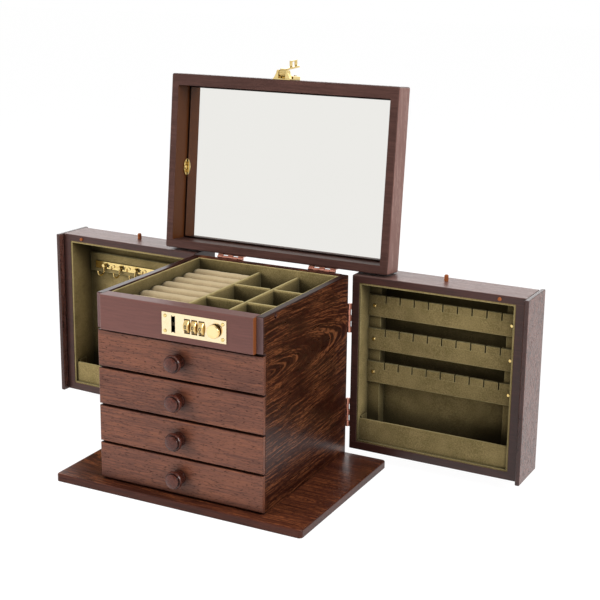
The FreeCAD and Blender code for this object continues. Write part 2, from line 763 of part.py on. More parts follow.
def star(u, z, near, far):
    """Five-pointed cut through the hook strip."""
    points = []
    for index in range(2 * STAR_POINTS):
        radius = STAR_IN if index % 2 else STAR_OUT
        angle = math.pi / 2 + index * math.pi / STAR_POINTS
        points.append(wing_point((u + radius * math.cos(angle), near, z + radius * math.sin(angle))))
    return plate(points, far - near, (0, 1, 0))


def hook(u, face, z):
    """Bent wire hook with a round boss on the strip, in short runs that leave the bend open."""
    v = face - HOOK_BOSS_R
    bend_z = z - HOOK_DROP
    tip_v = v - 2 * HOOK_BEND
    start = Vector(*wing_point((u, v, bend_z)))
    shank = rod(HOOK_WIRE_R, start, wing_point((u, v, z)))
    boss = rod(HOOK_BOSS_R, wing_point((u, v - HOOK_BOSS_FRONT, z)), wing_point((u, face, z)))
    tip = rod(HOOK_WIRE_R, wing_point((u, tip_v, bend_z)), wing_point((u, tip_v, bend_z + HOOK_TIP)))
    centre = Vector(*wing_point((u, v - HOOK_BEND, bend_z)))
    section = Part.Face(Part.Wire(Part.makeCircle(HOOK_WIRE_R, start)))
    turn = 180 / HOOK_ARCS
    bends = [section.revolve(centre, Vector(-1, 0, 0), turn) for _ in range(HOOK_ARCS)]
    for index, bend in enumerate(bends):
        bend.rotate(centre, Vector(-1, 0, 0), index * turn)
    return [shank.fuse(boss), *bends, tip]


def hook_strip():
    """Brass strip with star cuts and rivets, and its bent wire hooks."""
    face = HOOK_RAIL_V - HOOK_STRIP_T
    low, high = HOOK_STRIP_Z
    z = (low + high) / 2
    middle = (IN_U0 + IN_U1) / 2
    strip = wing_block((IN_U0 + HOOK_STRIP_END, face, low), (IN_U1 - HOOK_STRIP_END, HOOK_RAIL_V, high))
    solids = []
    for index in range(HOOKS):
        u = middle + (index - (HOOKS - 1) / 2) * HOOK_PITCH
        strip = strip.cut(star(u - STAR_AWAY, z, face - 1, HOOK_RAIL_V + 1))
        solids += hook(u, face, z)
        if index:
            x, y, _ = wing_point((u - RIVET_AWAY, face, z))
            solids.append(rod(RIVET_R, (x, y - RIVET_H, z), (x, y, z)))
    return [strip] + solids


# Lid

LID_BACK_RAIL = 9.3
LID_FRONT_RAIL = 12.5
LID_SIDE_RAIL = 9.0
LID_ROUND = 2.0
LID_PANEL_T = 4.5
MIRROR_T = 2.0
MIRROR_GAP = 1.0
MIRROR_BEVEL = 1.2
CLIP_U = 89.0
CLIP_HALF = 10.0
CLIP_DEEP = 6.5
CLIP_T = 1.2
CLIP_FOOT = 2.6
CLIP_FOOT_T = 0.8
CLIP_BOSS_R = 2.2
CLIP_BOSS_H = 0.9
CLIP_BAR = 1.1
LID_TOP = LID_Z + LID_T
MIRROR_FACE = LID_TOP - LID_PANEL_T - MIRROR_T
LID_IN_X = LID_W / 2 - LID_SIDE_RAIL
LID_IN_Y0 = LID_FRONT + LID_FRONT_RAIL
LID_IN_Y1 = Y_BACK - LID_BACK_RAIL


def lid_frame():
    """Four rails round the lid, rounded along its outside."""
    half = LID_W / 2
    low = (-half, LID_FRONT, LID_Z)
    high = (half, Y_BACK, LID_TOP)
    boards = [
        (low, (half, LID_IN_Y0, LID_TOP)),
        ((-half, LID_IN_Y1, LID_Z), high),
        ((-half, LID_IN_Y0, LID_Z), (-LID_IN_X, LID_IN_Y1, LID_TOP)),
        ((LID_IN_X, LID_IN_Y0, LID_Z), (half, LID_IN_Y1, LID_TOP)),
    ]
    return [rounded_outside(block(*board), low, high, LID_ROUND) for board in boards]


def lid_panel():
    return block((-LID_IN_X, LID_IN_Y0, LID_TOP - LID_PANEL_T), (LID_IN_X, LID_IN_Y1, LID_TOP))


def mirror():
    """Bevelled mirror, a little smaller than the recess that it lies in."""
    half = LID_IN_X - MIRROR_GAP
    low = (-half, LID_IN_Y0 + MIRROR_GAP, MIRROR_FACE)
    glass = block(low, (half, LID_IN_Y1 - MIRROR_GAP, MIRROR_FACE + MIRROR_T))
    rim = [edge for edge in glass.Edges if max(vertex.Z for vertex in edge.Vertexes) < MIRROR_FACE + 1e-6]
    return glass.makeChamfer(MIRROR_BEVEL, rim)


def mirror_clip():
    """Right-hand mirror clip: a rounded brass plate on the inner wall with a foot on the glass."""
    y = Y_BACK - CLIP_U
    wall = LID_IN_X
    ends = [Vector(wall, y - CLIP_HALF, MIRROR_FACE), Vector(wall, y + CLIP_HALF, MIRROR_FACE)]
    arch = Part.Arc(ends[0], Vector(wall, y, MIRROR_FACE - CLIP_DEEP), ends[1]).toShape()
    outline = Part.Wire([arch, Part.makeLine(ends[1], ends[0])])
    body = Part.Face(outline).extrude(Vector(-CLIP_T, 0, 0))
    foot_low = (wall - CLIP_T - CLIP_FOOT, y - CLIP_HALF * 0.6, MIRROR_FACE - CLIP_FOOT_T)
    body = body.fuse(block(foot_low, (wall - CLIP_T / 2, y + CLIP_HALF * 0.6, MIRROR_FACE)))
    boss_z = MIRROR_FACE - CLIP_DEEP * 0.5
    inner = wall - CLIP_T
    body = body.fuse(rod(CLIP_BOSS_R, (inner - CLIP_BOSS_H, y, boss_z), (inner, y, boss_z)))
    for end in (-1, 1):
        bar_y = y + end * CLIP_HALF * 0.42
        bar_low = (inner - CLIP_BOSS_H / 2, bar_y - CLIP_BAR / 2, MIRROR_FACE - CLIP_DEEP * 0.72)
        body = body.fuse(block(bar_low, (inner + CLIP_T / 2, bar_y + CLIP_BAR / 2, MIRROR_FACE)))
    return body


# Hasp on the lid's front edge

HASP_OPEN = 172.5
HASP_OUT = 6.8
HASP_IN = 5.0
HASP_PLATE_T = 1.2
HASP_PLATE_HALF = 10.2
HASP_PLATE_L = 28.0
HASP_PLATE_ROUND = 5.0
HASP_RISE = 4.2
HASP_RISE_AWAY = 0.8
HASP_RISE_ROUND = 1.2
HASP_SCREW_X = 4.4
HASP_WINDOW = 3.9
HASP_EAR_T = 2.6
HASP_EAR_R = 3.4
HASP_BARREL_R = 3.2
HASP_BARREL_HALF = 3.8
HASP_FLUTES = 12
HASP_FLUTE_R = 0.45
HASP_PIN_R = 1.1
ARM_HALF = 3.6
ARM_T = 1.8
ARM_INSET = 4.7
ARM_L = 31.0
ARM_TIP = 38.0
ARM_TIP_HALF = 1.5
STAPLE_HALF_X = 1.3
STAPLE_L = 13.0
STAPLE_LEG = 1.9
STAPLE_BAR = 1.2
STAPLE_H = 6.4
HASP_Y = LID_FRONT - HASP_OUT
HASP_Z = LID_Z + HASP_IN


def hasp_base():
    """Plate on the lid's edge with two ears, a window under the barrel and a raised back with screw heads."""
    low = LID_Z + 1.0
    end = low + HASP_PLATE_L
    back = LID_FRONT - HASP_PLATE_T
    top = LID_FRONT - HASP_RISE
    rise = HASP_Z + HASP_BARREL_R + HASP_RISE_AWAY
    raised = block((-HASP_PLATE_HALF, top, rise), (HASP_PLATE_HALF, LID_FRONT, end))
    corners = [edge for edge in raised.Edges if min(vertex.Z for vertex in edge.Vertexes) > end - 1]
    raised = raised.makeFillet(HASP_PLATE_ROUND, [edge for edge in corners if edge.Length < 2 * HASP_RISE])
    raised = rounded_at(raised, HASP_RISE_ROUND, lambda point: point.y < top + HASP_RISE / 2)
    flat = block((-HASP_PLATE_HALF, back, low), (HASP_PLATE_HALF, LID_FRONT, rise + HASP_RISE_AWAY))
    body = flat.fuse(raised)
    window = block((-HASP_WINDOW, back - 1, low + 1.2), (HASP_WINDOW, LID_FRONT + 1, HASP_Z + HASP_BARREL_R))
    body = body.cut(window)
    ear_low = HASP_Z - HASP_EAR_R
    for side in (-1, 1):
        near = side * (HASP_WINDOW + 0.2)
        far = near + side * HASP_EAR_T
        base = side * HASP_PLATE_HALF
        corners = [(near, LID_FRONT, ear_low), (base, LID_FRONT, ear_low), (far, HASP_Y, ear_low)]
        foot = plate(corners + [(near, HASP_Y, ear_low)], 2 * HASP_EAR_R, (0, 0, 1))
        body = body.fuse(foot).fuse(rod(HASP_EAR_R, (near, HASP_Y, HASP_Z), (far, HASP_Y, HASP_Z)))
    reach = HASP_PLATE_HALF
    body = body.cut(rod(HASP_PIN_R - PIN_PRESS, (-reach, HASP_Y, HASP_Z), (reach, HASP_Y, HASP_Z)))
    head_z = end - HASP_PLATE_ROUND
    for x in (-HASP_SCREW_X, HASP_SCREW_X):
        body = body.fuse(rod(PLATE_SCREW_R, (x, top - SCREW_HEAD, head_z), (x, top, head_z)))
    return body


def hasp_pin():
    reach = HASP_WINDOW + 0.2 + HASP_EAR_T
    return rod(HASP_PIN_R, (-reach, HASP_Y, HASP_Z), (reach, HASP_Y, HASP_Z))


def hasp_arm():
    """Arm in its locked place: ribbed barrel on the pin, tapering plate, staple and finger tab."""
    barrel = rod(HASP_BARREL_R, (-HASP_BARREL_HALF, HASP_Y, HASP_Z), (HASP_BARREL_HALF, HASP_Y, HASP_Z))
    for index in range(HASP_FLUTES):
        angle = 2 * math.pi * (index + 0.5) / HASP_FLUTES
        y = HASP_Y + HASP_BARREL_R * math.cos(angle)
        z = HASP_Z + HASP_BARREL_R * math.sin(angle)
        barrel = barrel.cut(rod(HASP_FLUTE_R, (-HASP_BARREL_HALF - 1, y, z), (HASP_BARREL_HALF + 1, y, z)))
    inner = HASP_Y + ARM_INSET
    outline = [
        (-ARM_HALF, HASP_Z), (-ARM_HALF, HASP_Z - ARM_L), (-ARM_TIP_HALF, HASP_Z - ARM_TIP),
        (ARM_TIP_HALF, HASP_Z - ARM_TIP), (ARM_HALF, HASP_Z - ARM_L), (ARM_HALF, HASP_Z),
    ]
    arm = plate([(x, inner - ARM_T, z) for x, z in outline], ARM_T, (0, 1, 0))
    low = LOCK_Z - STAPLE_L / 2
    high = LOCK_Z + STAPLE_L / 2
    staple = block((-STAPLE_HALF_X, inner, low), (STAPLE_HALF_X, inner + STAPLE_H, high))
    hole_low = (-STAPLE_HALF_X - 1, inner, low + STAPLE_LEG)
    hole = block(hole_low, (STAPLE_HALF_X + 1, inner + STAPLE_H - STAPLE_BAR, high - STAPLE_LEG))
    body = barrel.fuse(arm).fuse(staple.cut(hole))
    reach = HASP_BARREL_HALF + 1
    body = body.cut(rod(HASP_PIN_R + PIN_CLEAR, (-reach, HASP_Y, HASP_Z), (reach, HASP_Y, HASP_Z)))
    body.rotate(Vector(0, HASP_Y, HASP_Z), Vector(-1, 0, 0), HASP_OPEN)
    return body


def build_case():
    side = case_side()
    save("base_board", [base_board()])
    save("case_side_right", [side])
    save("case_side_left", [side.mirror(Vector(0, 0, 0), Vector(1, 0, 0))])
    save("case_back", [case_back()])
    save("top_front_panel", [top_front_panel()])
    save("case_shelves", case_shelves())
    save("tray_lining", tray_lining())
    save("tray_dividers", tray_dividers())
    save("ring_rolls", ring_rolls())
    save("case_hinge_leaves", at_lid(fixed_leaf) + both_sides(at_wing(fixed_leaf)))
    save("hinge_pins", at_lid(hinge_pin) + both_sides(at_wing(hinge_pin)))


def build_lock():
    save("lock_plate", [lock_plate()])
    save("lock_screws", lock_screws())
    save("lock_case", [lock_case()])
    save("dial_axle", [dial_axle()])
    for index, x in enumerate(DIAL_X):
        save(f"dial_{index + 1}", [dial(x)])
    save("lock_button", [lock_button()])
    save("lock_bolt", [lock_bolt()])


def build_drawers():
    for index in range(DRAWERS):
        line = drawer_line(index)
        name = f"drawer_{index + 1}"
        save(f"{name}_front", [drawer_front(line)])
        save(f"{name}_box", drawer_box(line))
        save(f"{name}_lining", drawer_lining(line))
        save(f"{name}_knob", [drawer_knob(line)])


def build_wings():
    for name, swing in (("left_wing", swing_left), ("right_wing", swing_right)):
        save(f"{name}_frame", swing(wing_frame()))
        save(f"{name}_end_panel", swing([wing_end()]))
        save(f"{name}_lining", swing(wing_lining()))
        save(f"{name}_pegs", swing(wing_pegs()))
        save(f"{name}_hinge_leaves", swing(at_wing(moving_leaf, turn=90)))
    save("hook_rail", swing_left([hook_rail()]))
    save("hook_strip", swing_left(hook_strip()))
    save("bar_battens", swing_right(bar_battens()))
    save("earring_bars", swing_right([solid for top in BAR_TOPS for solid in earring_bar(top)]))
    save("bar_screws", swing_right(bar_screws()))


def build_lid():
    clip = mirror_clip()
    save("lid_frame", open_lid(lid_frame()))
    save("lid_panel", open_lid([lid_panel()]))
    save("mirror", open_lid([mirror()]))
    save("mirror_clips", open_lid(both_sides([clip])))
    save("lid_hinge_leaves", open_lid(at_lid(moving_leaf)))
    save("hasp_base", open_lid([hasp_base()]))
    save("hasp_pin", open_lid([hasp_pin()]))
    save("hasp_arm", open_lid([hasp_arm()]))


os.makedirs("parts", exist_ok=True)
build_case()
build_lock()
build_drawers()
build_wings()
build_lid()
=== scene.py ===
import json
import math

import bmesh
import bpy
from mathutils import Matrix, Vector


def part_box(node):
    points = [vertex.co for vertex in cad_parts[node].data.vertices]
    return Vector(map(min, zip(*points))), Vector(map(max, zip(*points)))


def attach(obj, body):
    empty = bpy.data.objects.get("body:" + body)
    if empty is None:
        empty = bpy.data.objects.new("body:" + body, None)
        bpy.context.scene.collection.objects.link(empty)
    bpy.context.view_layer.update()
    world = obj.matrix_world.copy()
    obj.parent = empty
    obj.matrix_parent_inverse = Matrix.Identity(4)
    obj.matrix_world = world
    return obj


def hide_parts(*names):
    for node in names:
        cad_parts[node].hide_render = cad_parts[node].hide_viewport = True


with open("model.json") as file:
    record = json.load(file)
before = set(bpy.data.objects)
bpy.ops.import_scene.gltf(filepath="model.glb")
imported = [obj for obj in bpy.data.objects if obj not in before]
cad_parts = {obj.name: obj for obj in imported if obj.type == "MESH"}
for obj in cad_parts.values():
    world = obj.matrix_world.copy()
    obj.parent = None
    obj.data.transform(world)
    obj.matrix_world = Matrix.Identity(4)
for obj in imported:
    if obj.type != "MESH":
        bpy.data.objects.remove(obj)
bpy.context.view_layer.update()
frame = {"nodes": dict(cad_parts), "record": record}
NODES = frame["nodes"]
JOINTS = {joint["name"]: joint for joint in frame["record"]["behaviour"]["joints"]}
MM = 0.001


def srgb(red, green, blue):
    """Colour on the 0 to 255 screen scale, as the linear colour that shaders take."""
    linear = []
    for value in (red, green, blue):
        value /= 255
        linear.append(value / 12.92 if value <= 0.04045 else ((value + 0.055) / 1.055) ** 2.4)
    return (*linear, 1.0)


# Shader helpers. Patterns are laid out in millimetres.


def new_material(name):
    """A material with its node tree and its shader."""
    material = bpy.data.materials.new(name)
    material.use_nodes = True
    return material, material.node_tree, material.node_tree.nodes["Principled BSDF"]


def add(tree, kind, inputs=None, **settings):
    """A new shader node with its settings and the values of its sockets."""
    node = tree.nodes.new(kind)
    for name, value in settings.items():
        setattr(node, name, value)
    for name, value in (inputs or {}).items():
        if isinstance(value, bpy.types.NodeSocket):
            tree.links.new(value, node.inputs[name])
        else:
            node.inputs[name].default_value = value
    return node


def set_values(shader, **values):
    """Uniform values for a shader's sockets, whose names have spaces where these have underscores."""
    for name, value in values.items():
        shader.inputs[name.replace("_", " ")].default_value = value


def noise(tree, vector, size=1.0, detail=2.0, roughness=0.5):
    """Outputs of smooth random values in lumps of a size, as a number and as a colour."""
    values = {"Vector": vector, "Scale": 1 / size, "Detail": detail, "Roughness": roughness}
    return add(tree, "ShaderNodeTexNoise", values).outputs


def ramp(tree, factor, low, high):
    """0 below low, 1 above high, and a smooth step between."""
    values = {"Value": factor, "From Min": low, "From Max": high}
    return add(tree, "ShaderNodeMapRange", values, interpolation_type="SMOOTHSTEP").outputs["Result"]


def blend_colour(tree, factor, first, second):
    """The first colour where the factor is 0, the second where it is 1."""
    node = add(tree, "ShaderNodeMix", data_type="RGBA")
    for name, value in (("Factor", factor), ("A", first), ("B", second)):
        kind = "VALUE" if name == "Factor" else "RGBA"
        socket = [s for s in node.inputs if s.name == name and s.type == kind][0]
        if isinstance(value, bpy.types.NodeSocket):
            tree.links.new(value, socket)
        else:
            socket.default_value = value
    return [s for s in node.outputs if s.type == "RGBA"][0]


def calc(tree, operation, first, second=0.0):
    return add(tree, "ShaderNodeMath", {0: first, 1: second}, operation=operation).outputs[0]


def times(tree, first, second):
    return calc(tree, "MULTIPLY", first, second)


def shared(tree, first, second, share):
    """A share of one value and the rest of another."""
    return calc(tree, "ADD", times(tree, first, share), times(tree, second, 1 - share))


def darker(colour, share):
    """A colour with only a share of its light."""
    return (*(value * share for value in colour[:3]), 1.0)


def vector_calc(tree, operation, first, second):
    return add(tree, "ShaderNodeVectorMath", {0: first, 1: second}, operation=operation).outputs[0]


def alike(tree, first, second):
    """1 where two directions of length 1 are the same, 0 where they are square to each other."""
    values = {0: first, 1: second}
    return add(tree, "ShaderNodeVectorMath", values, operation="DOT_PRODUCT").outputs["Value"]


def place_mm(tree):
    """Place on the piece in millimetres, which moves with its body."""
    place = add(tree, "ShaderNodeTexCoord").outputs["Object"]
    return vector_calc(tree, "MULTIPLY", place, (1 / MM, 1 / MM, 1 / MM))


def wobble(tree, place, size, reach):
    """Places pushed to and fro, so that straight lines in a pattern wander."""
    push = noise(tree, place, size)["Color"]
    push = vector_calc(tree, "SUBTRACT", push, (0.5, 0.5, 0.5))
    push = vector_calc(tree, "MULTIPLY", push, (2 * reach, 2 * reach, 2 * reach))
    return vector_calc(tree, "ADD", place, push)


def lines(tree, space, size, detail=2.0, roughness=0.5):
    """Noise drawn out into lumps of a length along X and a width across it."""
    length, width = size
    space = vector_calc(tree, "MULTIPLY", space, (1 / length, 1 / width, 1 / width))
    return noise(tree, space, detail=detail, roughness=roughness)["Fac"]


GRAIN_ORDER = {"X": "XYZ", "Y": "YZX", "Z": "ZYX"}


def grain_space(tree, place, grain):
    """Coordinates turned so that X runs along the grain and Z through the board's thickness."""
    parts = add(tree, "ShaderNodeSeparateXYZ", {0: place}).outputs
    turned = {name: parts[axis] for name, axis in zip("XYZ", GRAIN_ORDER[grain])}
    return add(tree, "ShaderNodeCombineXYZ", turned).outputs[0]


def ring_space(tree, place, grain, heart, slant):
    """Grain coordinates with the growth ring's size as Y, round a heart line that leans through the board.

    Boards on both sides of the middle get the same figure, mirrored.
    """
    parts = add(tree, "ShaderNodeSeparateXYZ", {0: grain_space(tree, place, grain)}).outputs
    mirrored = {"X": parts["X"], "Y": parts["Y"], "Z": calc(tree, "ABSOLUTE", parts["Z"])}
    space = add(tree, "ShaderNodeCombineXYZ", mirrored).outputs[0]
    space = vector_calc(tree, "SUBTRACT", space, heart)
    parts = add(tree, "ShaderNodeSeparateXYZ", {0: space}).outputs
    depth = calc(tree, "ADD", parts["Z"], times(tree, parts["X"], slant))
    across = add(tree, "ShaderNodeCombineXYZ", {"Y": parts["Y"], "Z": depth}).outputs[0]
    ring = add(tree, "ShaderNodeVectorMath", {0: across}, operation="LENGTH").outputs["Value"]
    return add(tree, "ShaderNodeCombineXYZ", {"X": parts["X"], "Y": ring}).outputs[0]


# A pair named an edge says where a pattern starts and where it is full.

FACE_EDGE = (0.75, 0.95)
TURN_EDGE = (0.995, 0.80)
OPEN_SAMPLES = 8
ROUND_SAMPLES = 6


def part_of(tree, vector, axis):
    """Size of a vector's part along an axis, either way."""
    return calc(tree, "ABSOLUTE", add(tree, "ShaderNodeSeparateXYZ", {0: vector}).outputs[axis])


def facing(tree, axis):
    """1 on the faces that look along an axis of the piece, either way."""
    normal = add(tree, "ShaderNodeTexCoord").outputs["Normal"]
    return ramp(tree, part_of(tree, normal, axis), *FACE_EDGE)


def openness(tree, reach, low, high):
    """0 in hollows and corners, 1 in the open, judged over a reach in millimetres."""
    values = {"Distance": reach * MM}
    free = add(tree, "ShaderNodeAmbientOcclusion", values, samples=OPEN_SAMPLES).outputs["AO"]
    return ramp(tree, free, low, high)


def soft_edges(tree, width):
    """The normal with edges rounded over a width, and a mask of where that rounding is."""
    rounded = add(tree, "ShaderNodeBevel", {"Radius": width * MM}, samples=ROUND_SAMPLES).outputs[0]
    plain = add(tree, "ShaderNodeNewGeometry").outputs["Normal"]
    return rounded, ramp(tree, alike(tree, rounded, plain), *TURN_EDGE)


def set_bump(tree, shader, normal, height, strength, distance):
    """Relief from a height, over a distance in millimetres."""
    values = {"Normal": normal, "Height": height, "Strength": strength, "Distance": distance * MM}
    bump = add(tree, "ShaderNodeBump", values)
    tree.links.new(bump.outputs["Normal"], shader.inputs["Normal"])


# Wood. Sizes are length and width in millimetres.

WANDER, WANDER_REACH = 30.0, 1.2
DRIFT_SIZE = (110.0, 40.0)
DRIFT_SHARE = 0.35
FIBRE_SIZE = (40.0, 1.8)
FIBRE_HEIGHT = 0.35
PORE_SIZE = (5.0, 0.75)
PORE_EDGE = (0.57, 0.69)
PORE_AND_SHADE_LIGHT = 0.3
# Share of the deep colour's light in the pores and in the painted shade.
PORE_DULL = 0.5
TONE_EDGE = (0.37, 0.63)
WOOD_ROUND = 0.7
# How far edges go to the worn colour, which stands for wear and for a painted highlight.
WEAR_AND_HIGHLIGHT_SHARE = 0.55
FACE_FADE = 3.0
ROUGH_SPREAD = 0.16
RELIEF_DEPTH = 0.12
# Reach, low and high of the painted shade in hollows and seams.
PAINTED_SEAM_SHADE = (4.0, 0.30, 0.62)

# Parts of a figure, in lengths and widths of its lines

LINE_EDGE = (0.49, 0.57)
LINE_WANDER, LINE_REACH = 5, 0.35
DASH_EDGE = (0.36, 0.54)
DASH_LENGTH, DASH_WIDTH = 1 / 7, 0.6
BAND_EDGE = (0.30, 0.55)
BAND_LENGTH, BAND_WIDTH = 2, 9


def streaks(colour, share, size, face=None, beyond=0.0, heart=None, slant=0.0, grain=None):
    """A figure of fine broken lines.

    colour and share say how strongly it shows, size is length and width in millimetres, face and beyond
    limit it to faces along an axis and to places further out on it, heart and slant bend the lines into
    arches round a leaning heart line, and grain is the lines' axis where it isn't the wood's.
    """
    figure = {"colour": colour, "share": share, "size": size, "face": face, "beyond": beyond}
    return {**figure, "heart": heart, "slant": slant, "grain": grain}


def streak_mask(tree, place, grain, figure):
    """Where a figure's lines show."""
    length, width = figure["size"]
    grain = figure["grain"] or grain
    bent = wobble(tree, place, LINE_WANDER * width, LINE_REACH * width)
    if figure["heart"]:
        space = ring_space(tree, bent, grain, figure["heart"], figure["slant"])
    else:
        space = grain_space(tree, bent, grain)
    line = lines(tree, space, figure["size"], detail=1.0)
    dash = lines(tree, space, (DASH_LENGTH * length, DASH_WIDTH * width), detail=1.0)
    band = lines(tree, space, (BAND_LENGTH * length, BAND_WIDTH * width), detail=1.0)
    mask = times(tree, ramp(tree, line, *LINE_EDGE), ramp(tree, dash, *DASH_EDGE))
    mask = times(tree, mask, ramp(tree, band, *BAND_EDGE))
    mask = times(tree, mask, figure["share"])
    if figure["face"]:
        mask = times(tree, mask, facing(tree, figure["face"]))
    if figure["beyond"]:
        out = part_of(tree, place, figure["face"])
        mask = times(tree, mask, ramp(tree, out, figure["beyond"] - FACE_FADE, figure["beyond"]))
    return mask


def wood(
    name, grain, deep, body, figures=(), pores=0.4, rough=0.38, gloss=0.2,
    worn=None, cut=None, raw=None, pale=None, shade=PAINTED_SEAM_SHADE, relief=0.25,
):
    """Stained wood: drifting tone, fibres, dark pores, figures of streaks, edges paler from wear and from
    painted highlight, and cut ends.

    raw is an unstained colour for faces along X, with how far out on X these reach in millimetres. pale is
    an axis, a colour and a strength for faces along it that get a painted sheen. shade is the reach, low
    and high of the painted shade in hollows, seams and round knobs, and relief is how strongly fibres and
    pores stand out.
    """
    material, tree, shader = new_material(name)
    place = wobble(tree, place_mm(tree), WANDER, WANDER_REACH)
    space = grain_space(tree, place, grain)
    drift = lines(tree, space, DRIFT_SIZE, detail=3.0)
    fibre = lines(tree, space, FIBRE_SIZE, detail=4.0, roughness=0.65)
    pore = ramp(tree, lines(tree, space, PORE_SIZE, roughness=0.6), *PORE_EDGE)
    rounded, edge = soft_edges(tree, WOOD_ROUND)
    # Colour of the pores and of the painted shade in hollows.
    dark = darker(deep, PORE_AND_SHADE_LIGHT)

    tone = shared(tree, drift, fibre, DRIFT_SHARE)
    colour = blend_colour(tree, ramp(tree, tone, *TONE_EDGE), deep, body)
    # Faces along an axis get a painted sheen.
    if pale:
        axis, pale_colour, strength = pale
        colour = blend_colour(tree, times(tree, facing(tree, axis), strength), colour, pale_colour)
    for figure in figures:
        colour = blend_colour(tree, streak_mask(tree, place, grain, figure), colour, figure["colour"])
    colour = blend_colour(tree, times(tree, pore, pores), colour, dark)
    if cut:
        colour = blend_colour(tree, facing(tree, grain), colour, cut)
    if raw:
        raw_colour, reach = raw
        inside = ramp(tree, part_of(tree, place, "X"), reach, reach - FACE_FADE)
        colour = blend_colour(tree, times(tree, inside, facing(tree, "X")), colour, raw_colour)
    # Edges go paler, partly from wear and partly as a painted highlight.
    if worn:
        colour = blend_colour(tree, times(tree, edge, WEAR_AND_HIGHLIGHT_SHARE), colour, worn)
    # Painted shade: darker in hollows, seams and round the knobs.
    colour = blend_colour(tree, openness(tree, *shade), dark, colour)
    tree.links.new(colour, shader.inputs["Base Color"])

    dull = times(tree, pore, PORE_DULL * pores)
    spread = calc(tree, "ADD", times(tree, fibre, ROUGH_SPREAD), dull)
    tree.links.new(calc(tree, "ADD", spread, rough - ROUGH_SPREAD / 2), shader.inputs["Roughness"])
    height = calc(tree, "SUBTRACT", times(tree, fibre, FIBRE_HEIGHT), pore)
    set_bump(tree, shader, rounded, height, relief, RELIEF_DEPTH)
    set_values(shader, Specular_IOR_Level=gloss)
    return material


# Velvet

PATCH_SIZE = 18.0
PATCH_SHARE = 0.3
NAP_SIZE = 0.9
NAP_EDGE = (0.33, 0.67)
NAP_STRENGTH, NAP_DEPTH = 0.5, 0.3
VELVET_ROUND = 1.2
# Painted light on top faces, and how strongly edges and tops take the painted sheen colour.
PAINTED_TOP_LIGHT = 0.7
PAINTED_SHEEN_SHARE = 0.8
# Painted shade in hollows.
HOLLOW_LIGHT = 0.22
HOLLOW_EDGE = (0.32, 0.90)


def velvet(name, deep, body, sheen_edge_colour, sheen, reach):
    """Short pile with brushed patches, a fine nap, edges and tops painted paler as sheen and as light from
    above, and a soft sheen.

    It is painted darker in hollows, as shade, judged over a reach in millimetres.
    """
    material, tree, shader = new_material(name)
    place = place_mm(tree)
    patch = noise(tree, place, PATCH_SIZE, 3.0, 0.6)["Fac"]
    nap = noise(tree, place, NAP_SIZE, 2.0, 0.7)["Fac"]
    rounded, edge = soft_edges(tree, VELVET_ROUND)

    tone = shared(tree, patch, nap, PATCH_SHARE)
    colour = blend_colour(tree, ramp(tree, tone, *NAP_EDGE), deep, body)
    # Edges and top faces are painted paler, as sheen and as light from above.
    painted_sheen = calc(tree, "MAXIMUM", edge, times(tree, facing(tree, "Z"), PAINTED_TOP_LIGHT))
    colour = blend_colour(tree, times(tree, painted_sheen, PAINTED_SHEEN_SHARE), colour, sheen_edge_colour)
    dark = darker(deep, HOLLOW_LIGHT)
    # Painted shade in hollows.
    colour = blend_colour(tree, openness(tree, reach, *HOLLOW_EDGE), dark, colour)
    tree.links.new(colour, shader.inputs["Base Color"])

    set_bump(tree, shader, rounded, nap, NAP_STRENGTH, NAP_DEPTH)
    set_values(shader, Roughness=0.95, Specular_IOR_Level=0.1)
    set_values(shader, Sheen_Weight=0.4, Sheen_Roughness=0.45, Sheen_Tint=sheen)
    return material


# Metal

CLOUD_SIZE = 6.0
CLOUD_EDGE = (0.45, 0.8)
CLOUD_ROUGH = 0.08
SCRATCH_SIZE = (16.0, 0.4)
SCRATCH_ROUGH = 0.05
SCRATCH_STRENGTH, SCRATCH_DEPTH = 0.06, 0.05
# Reach, low and high of the darkening in hollows, which is partly tarnish and partly painted shade.
TARNISH_AND_SHADE = (2.5, 0.25, 0.85)
METAL_ROUND = 0.35


def metal(name, colour, worn, rough, hollow):
    """Plated metal with cloudy wear, fine scratches and darker hollows, partly tarnish and partly painted
    shade.
    """
    material, tree, shader = new_material(name)
    place = place_mm(tree)
    cloud = noise(tree, place, CLOUD_SIZE, 3.0, 0.6)["Fac"]
    scratch = lines(tree, place, SCRATCH_SIZE)
    shine = blend_colour(tree, ramp(tree, cloud, *CLOUD_EDGE), colour, worn)
    # Hollows darker, partly tarnish and partly painted shade.
    shine = blend_colour(tree, openness(tree, *TARNISH_AND_SHADE), hollow, shine)
    tree.links.new(shine, shader.inputs["Base Color"])
    spread = calc(tree, "ADD", times(tree, cloud, CLOUD_ROUGH), times(tree, scratch, SCRATCH_ROUGH))
    smoothest = rough - (CLOUD_ROUGH + SCRATCH_ROUGH) / 2
    tree.links.new(calc(tree, "ADD", spread, smoothest), shader.inputs["Roughness"])
    rounded, _ = soft_edges(tree, METAL_ROUND)
    set_bump(tree, shader, rounded, scratch, SCRATCH_STRENGTH, SCRATCH_DEPTH)
    set_values(shader, Metallic=1.0)
    return material


# Glass and ink

SILVER_DRIFT = 110.0
INK_DRIFT = 1.1


def mirror_glass():
    """Silvered glass with the faintest drift in its silver."""
    material, tree, shader = new_material("mirror_glass")
    drift = noise(tree, place_mm(tree), SILVER_DRIFT)["Fac"]
    colour = blend_colour(tree, drift, srgb(235, 234, 230), srgb(237, 236, 232))
    tree.links.new(colour, shader.inputs["Base Color"])
    set_values(shader, Metallic=1.0, Roughness=0.01)
    return material


def ink():
    """Dark enamel in the numerals, a little uneven."""
    material, tree, shader = new_material("ink")
    drift = noise(tree, place_mm(tree), INK_DRIFT)["Fac"]
    colour = blend_colour(tree, drift, srgb(26, 18, 10), srgb(52, 38, 22))
    tree.links.new(colour, shader.inputs["Base Color"])
    set_values(shader, Roughness=0.5)
    return material


# What each piece is made of

